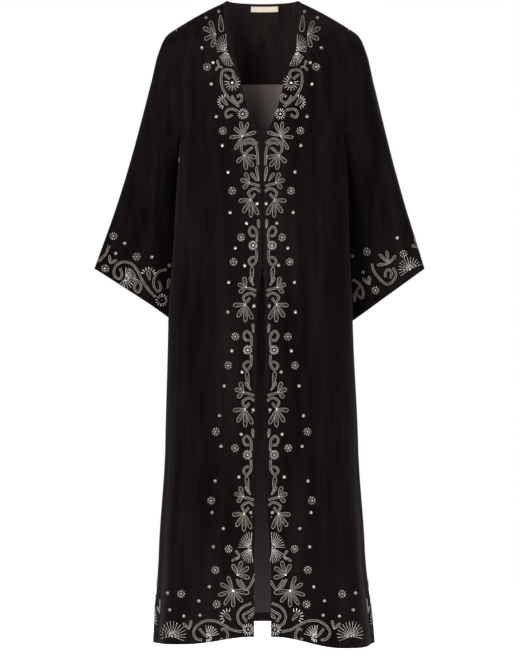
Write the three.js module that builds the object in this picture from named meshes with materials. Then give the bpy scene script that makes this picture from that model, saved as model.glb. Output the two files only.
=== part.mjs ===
// A long open-front velvet robe with wide bell sleeves, in the shape it has when it is worn.
// Millimetres, +Z up. The front faces -Y, and +X is on the right of someone looking at the front.
// The origin is midway between the shoulder seams, level with the two neck points.
// The robe is hollow: every panel is a thin wall, and neck, armholes, cuffs, front and hem are open.
import * as THREE from "three";

// Cloth, seams and the pieces sewn on.
const CLOTH = 2;
const THIN_CLOTH = 0.8;
const SEAM_GAP = 0.3;
const ARMHOLE_GAP = 0.55;
const BAND_WIDTH = 9.5;
const HEM_FACING_HEIGHT = 20;
const LABEL = { width: 64, height: 12.5, drop: 5.5, middleX: 5, thickness: 0.5 };

// Body: heights, half widths at the side seams and depths before and behind the side seams.
const UNDERARM_Z = -330;
const HEM_Z = -1412;
const HEM_DROP = { left: 21, right: 30, side: 30, spread: 1.5, sideSharpness: 8 };
const SECTION_POWER = 2.3;
const LEFT_HALF_WIDTH = [[-330, 186.5], [-480, 196], [-720, 212], [-1010, 219], [-1240, 233], [-1442, 246]];
const RIGHT_HALF_WIDTH = [[-330, 186.5], [-480, 193], [-720, 203], [-1010, 216], [-1240, 231], [-1442, 253]];
const FRONT_DEPTH = [[-330, 112], [-700, 118], [-1442, 134]];
const BACK_DEPTH = [[-330, 118], [-700, 122], [-1442, 138]];

// Front edges: half of the gap between them, at each height, and the V above.
const LEFT_EDGE_X = [
  [-330, 0.7], [-480, 0.8], [-604, 1.6], [-680, 13], [-1080, 13.5], [-1260, 18.5], [-1442, 18.5],
];
const RIGHT_EDGE_X = [
  [-330, 0.7], [-480, 0.8], [-604, 1.6], [-680, 5.5], [-1080, 6], [-1260, 18.5], [-1442, 18.5],
];
const V_EDGE = [
  [0.7, -112, -330],
  [1.6, -112, -314],
  [24, -111, -275],
  [49, -99, -188],
  [64, -80, -122],
  [75, -48, -62],
  [78, -0.15, 0],
];

// Shoulders, neck and armholes, given for the +X side.
const NECK_X = 78;
const SHOULDER = { x: 195, z: -63, rise: 3 };
const BACK_NECK = { depth: 62, rise: 2, roundness: 0.55 };
const CENTRE_BACK = [
  [0, 118, -330],
  [0, 121, -250],
  [0, 114, -172],
  [0, 92, -80],
  [0, 62, 2],
];
const ARMHOLE_FRONT = [184, -62, -213];
const ARMHOLE_BACK = [184, 66, -213];
const UNDERARM_X = 187;
// How closely the body's cloth keeps to the armhole, at its foot and at its top, and to the shoulder.
const ARMHOLE_PULL = { low: 6, high: 1.5 };
const SHOULDER_PULL = 1.5;

// Sleeve: the outer edge, the underarm edge and the middles of its front and back, from armhole to cuff.
// The outer edge is measured on the -X side, and the +X sleeve hangs nearer to the body at the cuff.
const SLEEVE_OUTER = [
  [195, 0, -63],
  [217, 2, -80],
  [234, 4, -116],
  [250, 8, -182],
  [291, 14, -338],
  [325, 18, -450],
  [380, 25, -602],
];
const SLEEVE_INNER = [
  [187, 0, -330],
  [190.4, 26, -378],
  [190.5, 54, -450],
  [190, 78, -540],
  [184, 102, -640],
  [172, 128, -744],
];
const SLEEVE_FRONT = [
  [184, -62, -213],
  [216, -52, -262],
  [238, -30, -400],
  [252, 4, -560],
  [256, 32, -682],
];
const SLEEVE_BACK = [
  [184, 66, -213],
  [218, 70, -250],
  [252, 84, -390],
  [276, 106, -550],
  [287, 122, -662],
];
const CUFF_REACH = { left: 0, right: -14 };

// Folds of the skirt: the angle from centre front in degrees, positive to +X, how wide and high each
// ridge (or trough, below zero) is at the hem, and the height at which it has died out.
const SKIRT_FOLDS = [
  { at: -20, width: 9, height: 7, top: -360 },
  { at: -36, width: 9, height: -6, top: -500 },
  { at: -54, width: 10, height: 9, top: -420 },
  { at: -76, width: 10, height: -7, top: -640 },
  { at: 22, width: 9, height: 7, top: -520 },
  { at: 38, width: 8, height: -7, top: -640 },
  { at: 55, width: 11, height: 10, top: -440 },
  { at: 77, width: 9, height: -6, top: -700 },
  { at: 112, width: 12, height: 9, top: -520 },
  { at: 134, width: 12, height: -9, top: -560 },
  { at: 157, width: 13, height: 11, top: -480 },
  { at: 182, width: 13, height: -9, top: -620 },
  { at: 206, width: 13, height: 11, top: -460 },
  { at: 230, width: 12, height: -9, top: -580 },
  { at: 251, width: 12, height: 9, top: -500 },
];

// Folds of a sleeve: the angle round it in degrees from the outer edge towards the front, how wide
// and high each is at the cuff, and how far down the sleeve it starts, from 0 to 1.
const SLEEVE_FOLDS = [
  { at: 50, width: 20, height: -6, start: 0.25 },
  { at: 92, width: 22, height: 7, start: 0.2 },
  { at: 132, width: 18, height: -6, start: 0.35 },
  { at: 232, width: 22, height: -7, start: 0.3 },
  { at: 280, width: 24, height: 7, start: 0.25 },
  { at: 322, width: 16, height: -5, start: 0.35 },
];

// Hooks and eyes behind the front edges. A hook runs from the -X front round the bar of the eye on
// the +X front. Points are x, then how far behind the cloth, then up from the closure's height.
const WIRE_RADIUS = 0.5;
const CLOSURE_HEIGHTS = { upper: -330, lower: -600 };
const HOOK_PATH = [[-11, 1.1, 0], [-5, 1.1, 0], [1, 1.1, 0], [2.6, 2.7, 0], [1, 4.3, 0], [-2.5, 4.4, 0]];
const EYE_PATH = [
  [11, 1.1, 3],
  [5.5, 1.2, 3],
  [2.2, 2.4, 2.5],
  [1.3, 2.7, 1.2],
  [1.3, 2.7, -1.2],
  [2.2, 2.4, -2.5],
  [5.5, 1.2, -3],
  [11, 1.1, -3],
];

// Grid sizes. An armhole's half has as many steps as the rows above the underarm.
const ROWS_BELOW = 14;
const ROWS_ABOVE = 12;
const FRONT_COLUMNS = 11;
const BACK_HALF_COLUMNS = 10;
const NECK_COLUMNS = 4;
const SLEEVE_ROWS = 11;
const FACING_ROWS = 6;
const FACING_HALF_COLUMNS = 7;
const LINING_HALF_COLUMNS = 8;

const TURN = 2 * Math.PI;
const rad = THREE.MathUtils.degToRad;
const lerp = THREE.MathUtils.lerp;
const clamp01 = (t) => Math.min(1, Math.max(0, t));
const smooth = (t) => clamp01(t) ** 2 * (3 - 2 * clamp01(t));
const vec = (p) => new THREE.Vector3(...p);

// The value at height z in a list of [height, value] that goes downwards.
function atHeight(list, z) {
  const below = list.findIndex(([height]) => height <= z);
  if (below === 0) return list[0][1];
  if (below < 0) return list.at(-1)[1];
  const [zHigh, high] = list[below - 1];
  const [zLow, low] = list[below];
  const share = (zHigh - z) / (zHigh - zLow);
  return lerp(high, low, (share + smooth(share)) / 2);
}

function curveThrough(points) {
  return new THREE.CatmullRomCurve3(points.map(vec), false, "centripetal");
}

const vEdge = curveThrough(V_EDGE);
const centreBack = curveThrough(CENTRE_BACK);

// How far the skirt stands out from its plain section, at an angle and a height.
function skirtFold(angle, z) {
  let out = 0;
  for (const fold of SKIRT_FOLDS) {
    const turn = ((THREE.MathUtils.radToDeg(angle) - fold.at + 540) % 360) - 180;
    const grown = smooth((fold.top - z) / (fold.top - HEM_Z));
    out += fold.height * grown * Math.exp(-((turn / fold.width) ** 2));
  }
  return out;
}

// A point of the body below the underarm, at an angle from centre front.
function sectionPoint(angle, z) {
  const s = Math.sin(angle);
  const c = Math.cos(angle);
  const halfWidth = atHeight(s < 0 ? LEFT_HALF_WIDTH : RIGHT_HALF_WIDTH, z);
  const depth = atHeight(c > 0 ? FRONT_DEPTH : BACK_DEPTH, z);
  const x = halfWidth * Math.sign(s) * Math.abs(s) ** (2 / SECTION_POWER);
  const y = -depth * Math.sign(c) * Math.abs(c) ** (2 / SECTION_POWER);
  const outward = new THREE.Vector3(x / halfWidth ** 2, y / depth ** 2, 0).normalize();
  return new THREE.Vector3(x, y, z).addScaledVector(outward, skirtFold(angle, z));
}

// The angle at which the plain section reaches x on the front.
function angleAtX(x, z, side) {
  const halfWidth = atHeight(side < 0 ? LEFT_HALF_WIDTH : RIGHT_HALF_WIDTH, z);
  return Math.asin((x / halfWidth) ** (SECTION_POWER / 2));
}

// The hem dips towards the sides and is as low at both side seams, though deeper before the seam on
// the +X side.
function hemZ(angle) {
  const across = Math.abs(Math.sin(angle));
  const drop = Math.sin(angle) < 0 ? HEM_DROP.left : HEM_DROP.right;
  const dipped = drop * smooth(HEM_DROP.spread * across);
  return HEM_Z - dipped - (HEM_DROP.side - drop) * across ** HEM_DROP.sideSharpness;
}

// Row heights below the underarm: the first step is the hem facing, the rest are even.
function rowShare(row) {
  const facing = HEM_FACING_HEIGHT / (UNDERARM_Z - HEM_Z);
  return row === 0 ? 0 : facing + (1 - facing) * ((row - 1) / (ROWS_BELOW - 1));
}

// The armhole's ring, at an angle from its top towards the front, on the side given by -1 or 1.
function armholePoint(turn, side) {
  const top = new THREE.Vector3(SHOULDER.x, 0, SHOULDER.z);
  const bottom = new THREE.Vector3(UNDERARM_X, 0, UNDERARM_Z);
  const middle = top.clone().add(bottom).multiplyScalar(0.5);
  const across = vec(Math.sin(turn) >= 0 ? ARMHOLE_FRONT : ARMHOLE_BACK).sub(middle);
  const point = middle
    .clone()
    .addScaledVector(top.sub(middle), Math.cos(turn))
    .addScaledVector(across, Math.abs(Math.sin(turn)));
  point.x *= side;
  return point;
}

// A four-sided patch between a bottom, a top, an inner and an outer edge, each a function of 0 to 1.
// Low in the patch the outer edge, which is the armhole, only draws in the cloth close to it.
function patchPoint(edges, u, v) {
  const a = smooth(u) ** lerp(ARMHOLE_PULL.low, ARMHOLE_PULL.high, smooth(v));
  const b = v ** SHOULDER_PULL;
  const corner = (p, q) => p.clone().multiplyScalar(1 - a).addScaledVector(q, a);
  const point = edges.bottom(u).multiplyScalar(1 - b).addScaledVector(edges.top(u), b);
  point.add(corner(edges.inner(v), edges.outer(v)));
  point.addScaledVector(corner(edges.bottom(0), edges.bottom(1)), b - 1);
  return point.addScaledVector(corner(edges.top(0), edges.top(1)), -b);
}

function shoulderPoint(t, side, y) {
  const x = lerp(NECK_X, SHOULDER.x, t);
  return new THREE.Vector3(side * x, y, lerp(0, SHOULDER.z, t) + SHOULDER.rise * Math.sin(Math.PI * t));
}

// The same point with its y moved off the seam plane, on the front (-1) or the back (1).
function besideSeam(point, part) {
  point.y = part * Math.max(part * point.y, SEAM_GAP / 2);
  return point;
}

// One front's point, u from the front edge to the side seam and armhole, row up from the hem.
function frontPoint(side, u, row) {
  const edgeX = side < 0 ? LEFT_EDGE_X : RIGHT_EDGE_X;
  const below = (share) => {
    const z = lerp(hemZ((side * u * Math.PI) / 2), UNDERARM_Z, share);
    const first = angleAtX(atHeight(edgeX, z), z, side);
    return besideSeam(sectionPoint(side * lerp(first, Math.PI / 2, u), z), -1);
  };
  if (row <= ROWS_BELOW) return below(rowShare(row));
  const edges = {
    bottom: (t) => {
      const first = angleAtX(V_EDGE[0][0], UNDERARM_Z, side);
      return besideSeam(sectionPoint(side * lerp(first, Math.PI / 2, t), UNDERARM_Z), -1);
    },
    top: (t) => shoulderPoint(t, side, -SEAM_GAP / 2),
    inner: (t) => vEdge.getPointAt(t).multiply(new THREE.Vector3(side, 1, 1)),
    outer: (t) => besideSeam(armholePoint(Math.PI * (1 - t), side), -1),
  };
  return patchPoint(edges, u, (row - ROWS_BELOW) / ROWS_ABOVE);
}

function backNeckPoint(t, side) {
  const round = Math.max(0, 1 - t * t) ** BACK_NECK.roundness;
  const y = Math.max(SEAM_GAP / 2, BACK_NECK.depth * round);
  return new THREE.Vector3(side * NECK_X * t, y, BACK_NECK.rise * round);
}

// The back's point, u from -1 at the -X side seam through 0 at centre back to 1, row up from the hem.
function backPoint(u, row) {
  const side = u < 0 ? -1 : 1;
  const t = Math.abs(u);
  const angle = (share) => Math.PI - side * (Math.PI / 2) * share;
  if (row <= ROWS_BELOW) {
    const z = lerp(hemZ(angle(t)), UNDERARM_Z, rowShare(row));
    return besideSeam(sectionPoint(angle(t), z), 1);
  }
  const neckShare = NECK_COLUMNS / BACK_HALF_COLUMNS;
  const edges = {
    bottom: (s) => besideSeam(sectionPoint(angle(s), UNDERARM_Z), 1),
    top: (s) =>
      s <= neckShare
        ? backNeckPoint(s / neckShare, side)
        : shoulderPoint((s - neckShare) / (1 - neckShare), side, SEAM_GAP / 2),
    inner: (s) => centreBack.getPointAt(s),
    outer: (s) => besideSeam(armholePoint(-Math.PI * (1 - s), side), 1),
  };
  return patchPoint(edges, t, (row - ROWS_BELOW) / ROWS_ABOVE);
}

// A sleeve's point, turn round it from the outer edge towards the front, t from armhole to cuff.
function sleevePoint(guides, side, turn, t) {
  const top = guides.outer.getPointAt(t);
  top.x += CUFF_REACH[side < 0 ? "left" : "right"] * t ** 2;
  const bottom = guides.inner.getPointAt(t);
  const middle = top.clone().add(bottom).multiplyScalar(0.5);
  const face = Math.sin(turn) >= 0 ? guides.front : guides.back;
  const across = face.getPointAt(t).sub(middle);
  const fullness = lerp(1, 0.78 + 0.22 * Math.sin(turn) ** 2, smooth(2 * t));
  let fold = 0;
  for (const { at, width, height, start } of SLEEVE_FOLDS) {
    const away = ((THREE.MathUtils.radToDeg(turn) - at + 540) % 360) - 180;
    fold += height * smooth((t - start) / (1 - start)) * Math.exp(-((away / width) ** 2));
  }
  const reach = 1 + fold / Math.max(1, across.length());
  const point = middle
    .clone()
    .addScaledVector(top.sub(middle), Math.cos(turn))
    .addScaledVector(across, Math.abs(Math.sin(turn)) * fullness * reach);
  point.x = side * (point.x + ARMHOLE_GAP * (1 - smooth(8 * t)));
  return point;
}

// The unit normal at each point of a grid of rows, from its neighbours. A closed grid wraps round.
function gridNormals(grid, closed) {
  return grid.map((line, i) =>
    line.map((_, j) => {
      const count = line.length;
      const nextJ = closed ? (j + 1) % count : Math.min(j + 1, count - 1);
      const lastJ = closed ? (j + count - 1) % count : Math.max(j - 1, 0);
      const along = line[nextJ].clone().sub(line[lastJ]);
      const up = grid[Math.min(i + 1, grid.length - 1)][j].clone().sub(grid[Math.max(i - 1, 0)][j]);
      return along.cross(up).normalize();
    }),
  );
}

// Takes one axis out of the normals that "picked" names, so that walls meet squarely at a seam.
function flattenNormals(normals, axis, picked) {
  normals.forEach((line, i) =>
    line.forEach((normal, j) => {
      if (picked(i, j)) normal[axis] = 0;
      normal.normalize();
    }),
  );
  return normals;
}

function movedGrid(grid, normals, distance) {
  return grid.map((line, i) => line.map((point, j) => point.clone().addScaledVector(normals[i][j], distance)));
}

// A closed wall between an outer grid and an inner one. The grids' columns run to the right as seen
// from outside and their rows run up.
function wallGeometry(outer, inner, closed = false) {
  const rows = outer.length;
  const columns = outer[0].length;
  const positions = [outer, inner].flat(2).flatMap((p) => p.toArray());
  const at = (layer, i, j) => layer * rows * columns + i * columns + (j % columns);
  const faces = [];
  const quad = (a, b, c, d) => faces.push(a, b, c, a, c, d);
  const lastColumn = closed ? columns : columns - 1;
  for (let i = 0; i < rows - 1; i++) {
    for (let j = 0; j < lastColumn; j++) {
      quad(at(0, i, j), at(0, i, j + 1), at(0, i + 1, j + 1), at(0, i + 1, j));
      quad(at(1, i, j), at(1, i + 1, j), at(1, i + 1, j + 1), at(1, i, j + 1));
    }
  }
  for (let j = 0; j < lastColumn; j++) {
    quad(at(1, 0, j), at(1, 0, j + 1), at(0, 0, j + 1), at(0, 0, j));
    quad(at(0, rows - 1, j), at(0, rows - 1, j + 1), at(1, rows - 1, j + 1), at(1, rows - 1, j));
  }
  for (let i = 0; i < rows - 1 && !closed; i++) {
    quad(at(1, i, 0), at(0, i, 0), at(0, i + 1, 0), at(1, i + 1, 0));
    quad(at(0, i, columns - 1), at(1, i, columns - 1), at(1, i + 1, columns - 1), at(0, i + 1, columns - 1));
  }
  const geometry = new THREE.BufferGeometry();
  geometry.setAttribute("position", new THREE.Float32BufferAttribute(positions, 3));
  geometry.setIndex(faces);
  geometry.computeVertexNormals();
  return geometry;
}

const range = (first, last) => Array.from({ length: last - first + 1 }, (_, k) => first + k);
const BODY_ROWS = range(0, ROWS_BELOW + ROWS_ABOVE);
const robe = new THREE.Group();

const velvet = new THREE.MeshStandardMaterial({ color: 0x1a1615, roughness: 0.95, metalness: 0 });
const bandVelvet = new THREE.MeshStandardMaterial({ color: 0x151211, roughness: 0.9, metalness: 0 });
const liningCloth = new THREE.MeshStandardMaterial({ color: 0x352d2b, roughness: 0.6, metalness: 0 });
const labelCloth = new THREE.MeshStandardMaterial({ color: 0xd9cfb8, roughness: 0.8, metalness: 0 });
const darkSteel = new THREE.MeshStandardMaterial({ color: 0x3b3836, roughness: 0.35, metalness: 1 });

function add(name, geometry, material) {
  const mesh = new THREE.Mesh(geometry, material);
  mesh.name = name;
  robe.add(mesh);
}

// One front as a grid: the second column is the edge of the band, the others are even.
function frontGrid(side) {
  return BODY_ROWS.map((row) => {
    const rowLength = frontPoint(side, 0, row).distanceTo(frontPoint(side, 0.5, row)) * 2.1;
    const bandShare = BAND_WIDTH / rowLength;
    const shares = range(0, FRONT_COLUMNS).map((k) =>
      k === 0 ? 0 : lerp(bandShare, 1, (k - 1) / (FRONT_COLUMNS - 1)),
    );
    const line = shares.map((u) => frontPoint(side, u, row));
    return side < 0 ? line.reverse() : line;
  });
}

function addFront(name, side) {
  const grid = frontGrid(side);
  const seamColumn = side < 0 ? 0 : FRONT_COLUMNS;
  const onSeam = (i, j) => i === BODY_ROWS.length - 1 || (j === seamColumn && i <= ROWS_BELOW);
  const normals = flattenNormals(gridNormals(grid), "y", onSeam);
  add("front_" + name, wallGeometry(grid, movedGrid(grid, normals, -CLOTH)), velvet);
  const bandColumns = (line) => (side < 0 ? line.slice(-2) : line.slice(0, 2));
  const bandGrid = grid.map(bandColumns);
  const bandNormals = normals.map(bandColumns);
  const under = movedGrid(bandGrid, bandNormals, SEAM_GAP);
  add("edge_band_" + name, wallGeometry(movedGrid(under, bandNormals, THIN_CLOTH), under), bandVelvet);
}

const backColumns = range(-BACK_HALF_COLUMNS, BACK_HALF_COLUMNS).map((k) => -k / BACK_HALF_COLUMNS);
const backGrid = BODY_ROWS.map((row) => backColumns.map((u) => backPoint(u, row)));
const backNormals = flattenNormals(gridNormals(backGrid), "y", (i, j) => {
  const atTop = i === BODY_ROWS.length - 1 && Math.abs(j - BACK_HALF_COLUMNS) >= NECK_COLUMNS;
  return atTop || (j % (2 * BACK_HALF_COLUMNS) === 0 && i <= ROWS_BELOW);
});

// A piece that lies inside the back: the back's own points, moved in by "depth".
function innerGrid(rows, halfColumns, depth) {
  const columns = range(BACK_HALF_COLUMNS - halfColumns, BACK_HALF_COLUMNS + halfColumns);
  const pick = (table) => rows.map((i) => columns.map((j) => table[i][j]));
  return movedGrid(pick(backGrid), pick(backNormals), -depth);
}

// Draws the top and bottom rows in, so that pieces that share a row end a seam's gap apart.
function trimmed(grid) {
  const draw = (line, next) =>
    line.map((point, j) => point.clone().lerp(next[j], SEAM_GAP / point.distanceTo(next[j])));
  return [draw(grid[0], grid[1]), ...grid.slice(1, -1), draw(grid.at(-1), grid.at(-2))];
}

function addInnerPiece(name, rows, halfColumns, material) {
  const near = CLOTH + SEAM_GAP;
  const outer = trimmed(innerGrid(rows, halfColumns, near));
  const inner = trimmed(innerGrid(rows, halfColumns, near + THIN_CLOTH));
  add(name, wallGeometry(outer, inner), material);
}

function addBackPieces() {
  add("back", wallGeometry(backGrid, movedGrid(backGrid, backNormals, -CLOTH)), velvet);
  const facingRow = BODY_ROWS.length - 1 - FACING_ROWS;
  addInnerPiece("facing_back_neck", range(facingRow, BODY_ROWS.length - 1), FACING_HALF_COLUMNS, velvet);
  addInnerPiece("lining_back", range(1, facingRow), LINING_HALF_COLUMNS, liningCloth);
  addInnerPiece("facing_back_hem", [0, 1], LINING_HALF_COLUMNS, velvet);
}

function addSleeve(name, side) {
  const guides = {
    outer: curveThrough(SLEEVE_OUTER),
    inner: curveThrough(SLEEVE_INNER),
    front: curveThrough(SLEEVE_FRONT),
    back: curveThrough(SLEEVE_BACK),
  };
  const around = range(0, 2 * ROWS_ABOVE - 1).map((k) => (k * TURN) / (2 * ROWS_ABOVE));
  const grid = range(0, SLEEVE_ROWS).map((row) => {
    const ring = around.map((turn) => sleevePoint(guides, side, turn, 1 - row / SLEEVE_ROWS));
    return side < 0 ? ring : ring.reverse();
  });
  const normals = gridNormals(grid, true);
  for (const normal of normals.at(-1)) {
    normal.x = side * Math.min(0, side * normal.x);
    normal.normalize();
  }
  add("sleeve_" + name, wallGeometry(grid, movedGrid(grid, normals, -CLOTH), true), velvet);
}

// The blank label hangs inside the neck: it lies on the facing, just under the edge.
function addLabel() {
  const topRow = BODY_ROWS.length - 1;
  const rowHeight = backGrid[topRow][BACK_HALF_COLUMNS].distanceTo(backGrid[topRow - 1][BACK_HALF_COLUMNS]);
  const columnWidth = NECK_X / NECK_COLUMNS;
  const columnAt = (x) => BACK_HALF_COLUMNS - x / columnWidth;
  const first = columnAt(LABEL.middleX + LABEL.width / 2);
  const last = columnAt(LABEL.middleX - LABEL.width / 2);
  const columns = [first, ...range(Math.ceil(first), Math.floor(last)), last];
  const rows = [LABEL.drop + LABEL.height, LABEL.drop].map((down) => down / rowHeight);
  const place = (down, column, depth) => {
    const j = Math.min(Math.floor(column), 2 * BACK_HALF_COLUMNS - 1);
    const mix = (table, i) => table[i][j].clone().lerp(table[i][j + 1], column - j);
    const point = mix(backGrid, topRow).lerp(mix(backGrid, topRow - 1), down);
    const normal = mix(backNormals, topRow).lerp(mix(backNormals, topRow - 1), down).normalize();
    return point.addScaledVector(normal, -depth);
  };
  const depth = CLOTH + THIN_CLOTH + 3 * SEAM_GAP;
  const layer = (extra) => rows.map((down) => columns.map((column) => place(down, column, depth + extra)));
  add("label", wallGeometry(layer(0), layer(LABEL.thickness)), labelCloth);
}

// A wire bent along a path behind the front edges.
function addWire(name, path, height) {
  const clothY = sectionPoint(0, height).y + CLOTH;
  const places = path.map(([x, behind, up]) => [x, clothY + behind, height + up]);
  const section = new THREE.Shape().absarc(0, 0, WIRE_RADIUS, 0, TURN);
  const settings = {
    extrudePath: curveThrough(places),
    steps: 3 * path.length,
    curveSegments: 6,
    bevelEnabled: false,
  };
  add(name, new THREE.ExtrudeGeometry(section, settings), darkSteel);
}

addBackPieces();
addFront("left", -1);
addFront("right", 1);
addSleeve("left", -1);
addSleeve("right", 1);
addLabel();
for (const [place, height] of Object.entries(CLOSURE_HEIGHTS)) {
  addWire("hook_" + place, HOOK_PATH, height);
  addWire("eye_" + place, EYE_PATH, height);
}

export default robe;
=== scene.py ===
"""A long open-front velvet robe with wide bell sleeves, in the shape it has when it is worn.

The cloth is made from the robe's own sizes, in millimetres: z = 0 at the neck points, the front
faces -Y. Beads, bugles and sequins are then sewn to the finished cloth.
"""
import math

import bpy
import numpy as np
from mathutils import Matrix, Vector
from mathutils.bvhtree import BVHTree


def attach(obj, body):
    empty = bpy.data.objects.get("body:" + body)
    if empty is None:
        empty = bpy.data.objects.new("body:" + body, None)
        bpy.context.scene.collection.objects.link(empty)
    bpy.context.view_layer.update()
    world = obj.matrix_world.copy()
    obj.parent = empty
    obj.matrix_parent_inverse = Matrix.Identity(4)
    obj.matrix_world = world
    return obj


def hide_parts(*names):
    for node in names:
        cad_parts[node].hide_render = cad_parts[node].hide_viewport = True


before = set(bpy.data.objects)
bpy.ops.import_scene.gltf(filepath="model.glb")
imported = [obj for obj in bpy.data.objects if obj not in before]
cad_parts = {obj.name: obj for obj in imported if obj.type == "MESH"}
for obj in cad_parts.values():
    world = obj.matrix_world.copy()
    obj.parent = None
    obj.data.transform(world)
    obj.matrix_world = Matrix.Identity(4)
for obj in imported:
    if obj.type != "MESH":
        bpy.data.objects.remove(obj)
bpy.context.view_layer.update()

MM = 0.001
CLOTH = 2.0
LINING = 0.8
SEAM_GAP = 0.3
SEWN_GAP = 0.05

# ---------------------------------------------------------------- the robe's sizes

UNDERARM_Z = -330
HEM_Z = -1412
HEM_SIDE_DROP = 30
LEFT_HEM_DROP = 21
SECTION_POWER = 2.3
LEFT_HALF_WIDTH = [(-330, 186.5), (-480, 196), (-720, 212), (-1010, 219), (-1240, 233), (-1442, 246)]
RIGHT_HALF_WIDTH = [(-330, 186.5), (-480, 193), (-720, 203), (-1010, 216), (-1240, 231), (-1442, 253)]
FRONT_DEPTH = [(-330, 112), (-700, 118), (-1442, 134)]
BACK_DEPTH = [(-330, 118), (-700, 122), (-1442, 138)]
LEFT_EDGE_X = [(-330, 0.7), (-480, 0.8), (-604, 1.6), (-680, 13), (-1080, 13.5), (-1260, 18.5), (-1442, 18.5)]
RIGHT_EDGE_X = [(-330, 0.7), (-480, 0.8), (-604, 1.6), (-680, 5.5), (-1080, 6), (-1260, 18.5), (-1442, 18.5)]
V_EDGE = [(0.7, -112, -330), (1.6, -112, -314), (24, -111, -275), (49, -99, -188), (64, -80, -122),
          (75, -48, -62), (78, -0.15, 0)]
CENTRE_BACK = [(0, 118, -330), (0, 121, -250), (0, 114, -172), (0, 92, -80), (0, 62, 2)]
NECK_X = 78
NECK_SHARE = 0.4
SHOULDER_X, SHOULDER_Z, SHOULDER_RISE = 195, -63, 3
NECK_DEPTH, NECK_RISE, NECK_ROUNDNESS = 62, 2, 0.55
ARMHOLE_FRONT = (184, -62, -213)
ARMHOLE_BACK = (184, 66, -213)
UNDERARM_X = 187
ARMHOLE_GAP = 0.55
ARMHOLE_PULL, ARMHOLE_CUT, ARMHOLE_CUT_HEIGHT = 2, 0.5, 0.45
SLEEVE_OUTER = [(195, 0, -63), (217, 2, -80), (234, 4, -116), (250, 8, -182), (291, 14, -338),
                (325, 18, -450), (380, 25, -602)]
SLEEVE_INNER = [(187, 0, -330), (189.6, 26, -378), (190, 54, -450), (190, 78, -540), (184, 102, -640),
                (172, 128, -744)]
SLEEVE_FRONT = [(184, -62, -213), (216, -52, -262), (238, -30, -400), (252, 4, -560), (256, 32, -682)]
SLEEVE_BACK = [(184, 66, -213), (218, 70, -250), (252, 84, -390), (276, 106, -550), (287, 122, -662)]
CUFF_REACH = {-1: 0, 1: -14}

# Folds of the skirt: degrees from centre front, width, height at the hem, where it dies out.
SKIRT_FOLDS = [
    (-20, 9, 7, -360), (-36, 9, -6, -500), (-54, 10, 9, -420), (-76, 10, -7, -640),
    (22, 9, 7, -520), (38, 8, -7, -640), (55, 11, 10, -440), (77, 9, -6, -700),
    (112, 12, 9, -520), (134, 12, -9, -560), (157, 13, 11, -480), (182, 13, -9, -620),
    (206, 13, 11, -460), (230, 12, -9, -580), (251, 12, 9, -500),
]
# Folds of a sleeve: degrees from its outer edge, width, height at the cuff, where it starts.
SLEEVE_FOLDS = [(50, 20, -6, 0.25), (92, 22, 7, 0.2), (132, 18, -6, 0.35),
                (232, 22, -7, 0.3), (280, 24, 7, 0.25), (322, 16, -5, 0.35)]

CREASE_STRENGTH = 1.7
# Smaller creases, each a line of (x, z) on one face of the robe, with its width and its height:
# ridges stand out and troughs, below zero, go in.
FRONT_CREASES = [
    ([(-205, -80), (-196, -150), (-188, -235)], 7, 2.2),
    ([(-190, -95), (-180, -160), (-172, -240)], 6, -2.0),
    ([(-160, -285), (-132, -380), (-122, -470)], 9, 2.4),
    ([(-176, -330), (-160, -440), (-158, -600)], 10, 2.2),
    ([(-66, -300), (-76, -520), (-86, -760), (-88, -1010)], 11, 2.4),
    ([(-100, -430), (-108, -700), (-112, -980), (-120, -1300)], 12, -2.6),
    ([(-146, -620), (-160, -900), (-170, -1260)], 14, 2.6),
    ([(146, -270), (134, -380), (120, -560)], 8, 3.0),
    ([(180, -240), (186, -400), (184, -560)], 8, 2.4),
    ([(168, -245), (164, -400), (158, -560)], 8, -2.4),
    ([(190, -85), (197, -175), (205, -110)], 6, 1.8),
    ([(112, -400), (100, -620), (96, -880)], 11, -2.4),
    ([(78, -420), (82, -640), (80, -900)], 10, 2.4),
    ([(134, -850), (136, -1080), (140, -1330)], 8, 2.8),
    ([(180, -760), (190, -1000), (205, -1300)], 13, -2.6),
]
BACK_CREASES = [
    ([(-150, -120), (-120, -220), (-108, -330)], 12, 2.4),
    ([(150, -110), (124, -210), (110, -320)], 12, 2.4),
    ([(-164, -300), (-136, -420), (-128, -620)], 11, -2.6),
    ([(162, -310), (140, -440), (134, -600)], 11, -2.6),
    ([(-20, -330), (-34, -560), (-36, -900)], 13, 2.8),
    ([(44, -420), (38, -700), (44, -1000)], 13, -2.8),
    ([(-90, -700), (-98, -1000), (-108, -1300)], 12, 2.8),
    ([(96, -760), (104, -1050), (112, -1340)], 12, 2.8),
    ([(4, -900), (0, -1100), (-6, -1380)], 12, 2.6),
]
SLEEVE_CREASES = [
    ([(214, -95), (224, -200), (236, -300)], 8, -2.2),
    ([(236, -290), (243, -450), (248, -570)], 7, 3.2),
    ([(262, -300), (282, -440), (312, -560)], 10, -2.6),
    ([(228, -380), (222, -500), (226, -640)], 9, -2.8),
    ([(286, -380), (318, -500), (346, -580)], 10, 2.6),
]


def eased(t):
    t = np.clip(t, 0, 1)
    return t * t * (3 - 2 * t)


def at_height(table, z):
    """The value at height z in a table of (height, value) that goes downwards."""
    heights, values = np.array(table, float).T
    z = np.asarray(z, float)
    k = np.clip(np.searchsorted(-heights, -z), 1, len(heights) - 1)
    share = np.clip((heights[k - 1] - z) / (heights[k - 1] - heights[k]), 0, 1)
    return values[k - 1] + (values[k] - values[k - 1]) * (share + eased(share)) / 2


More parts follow.
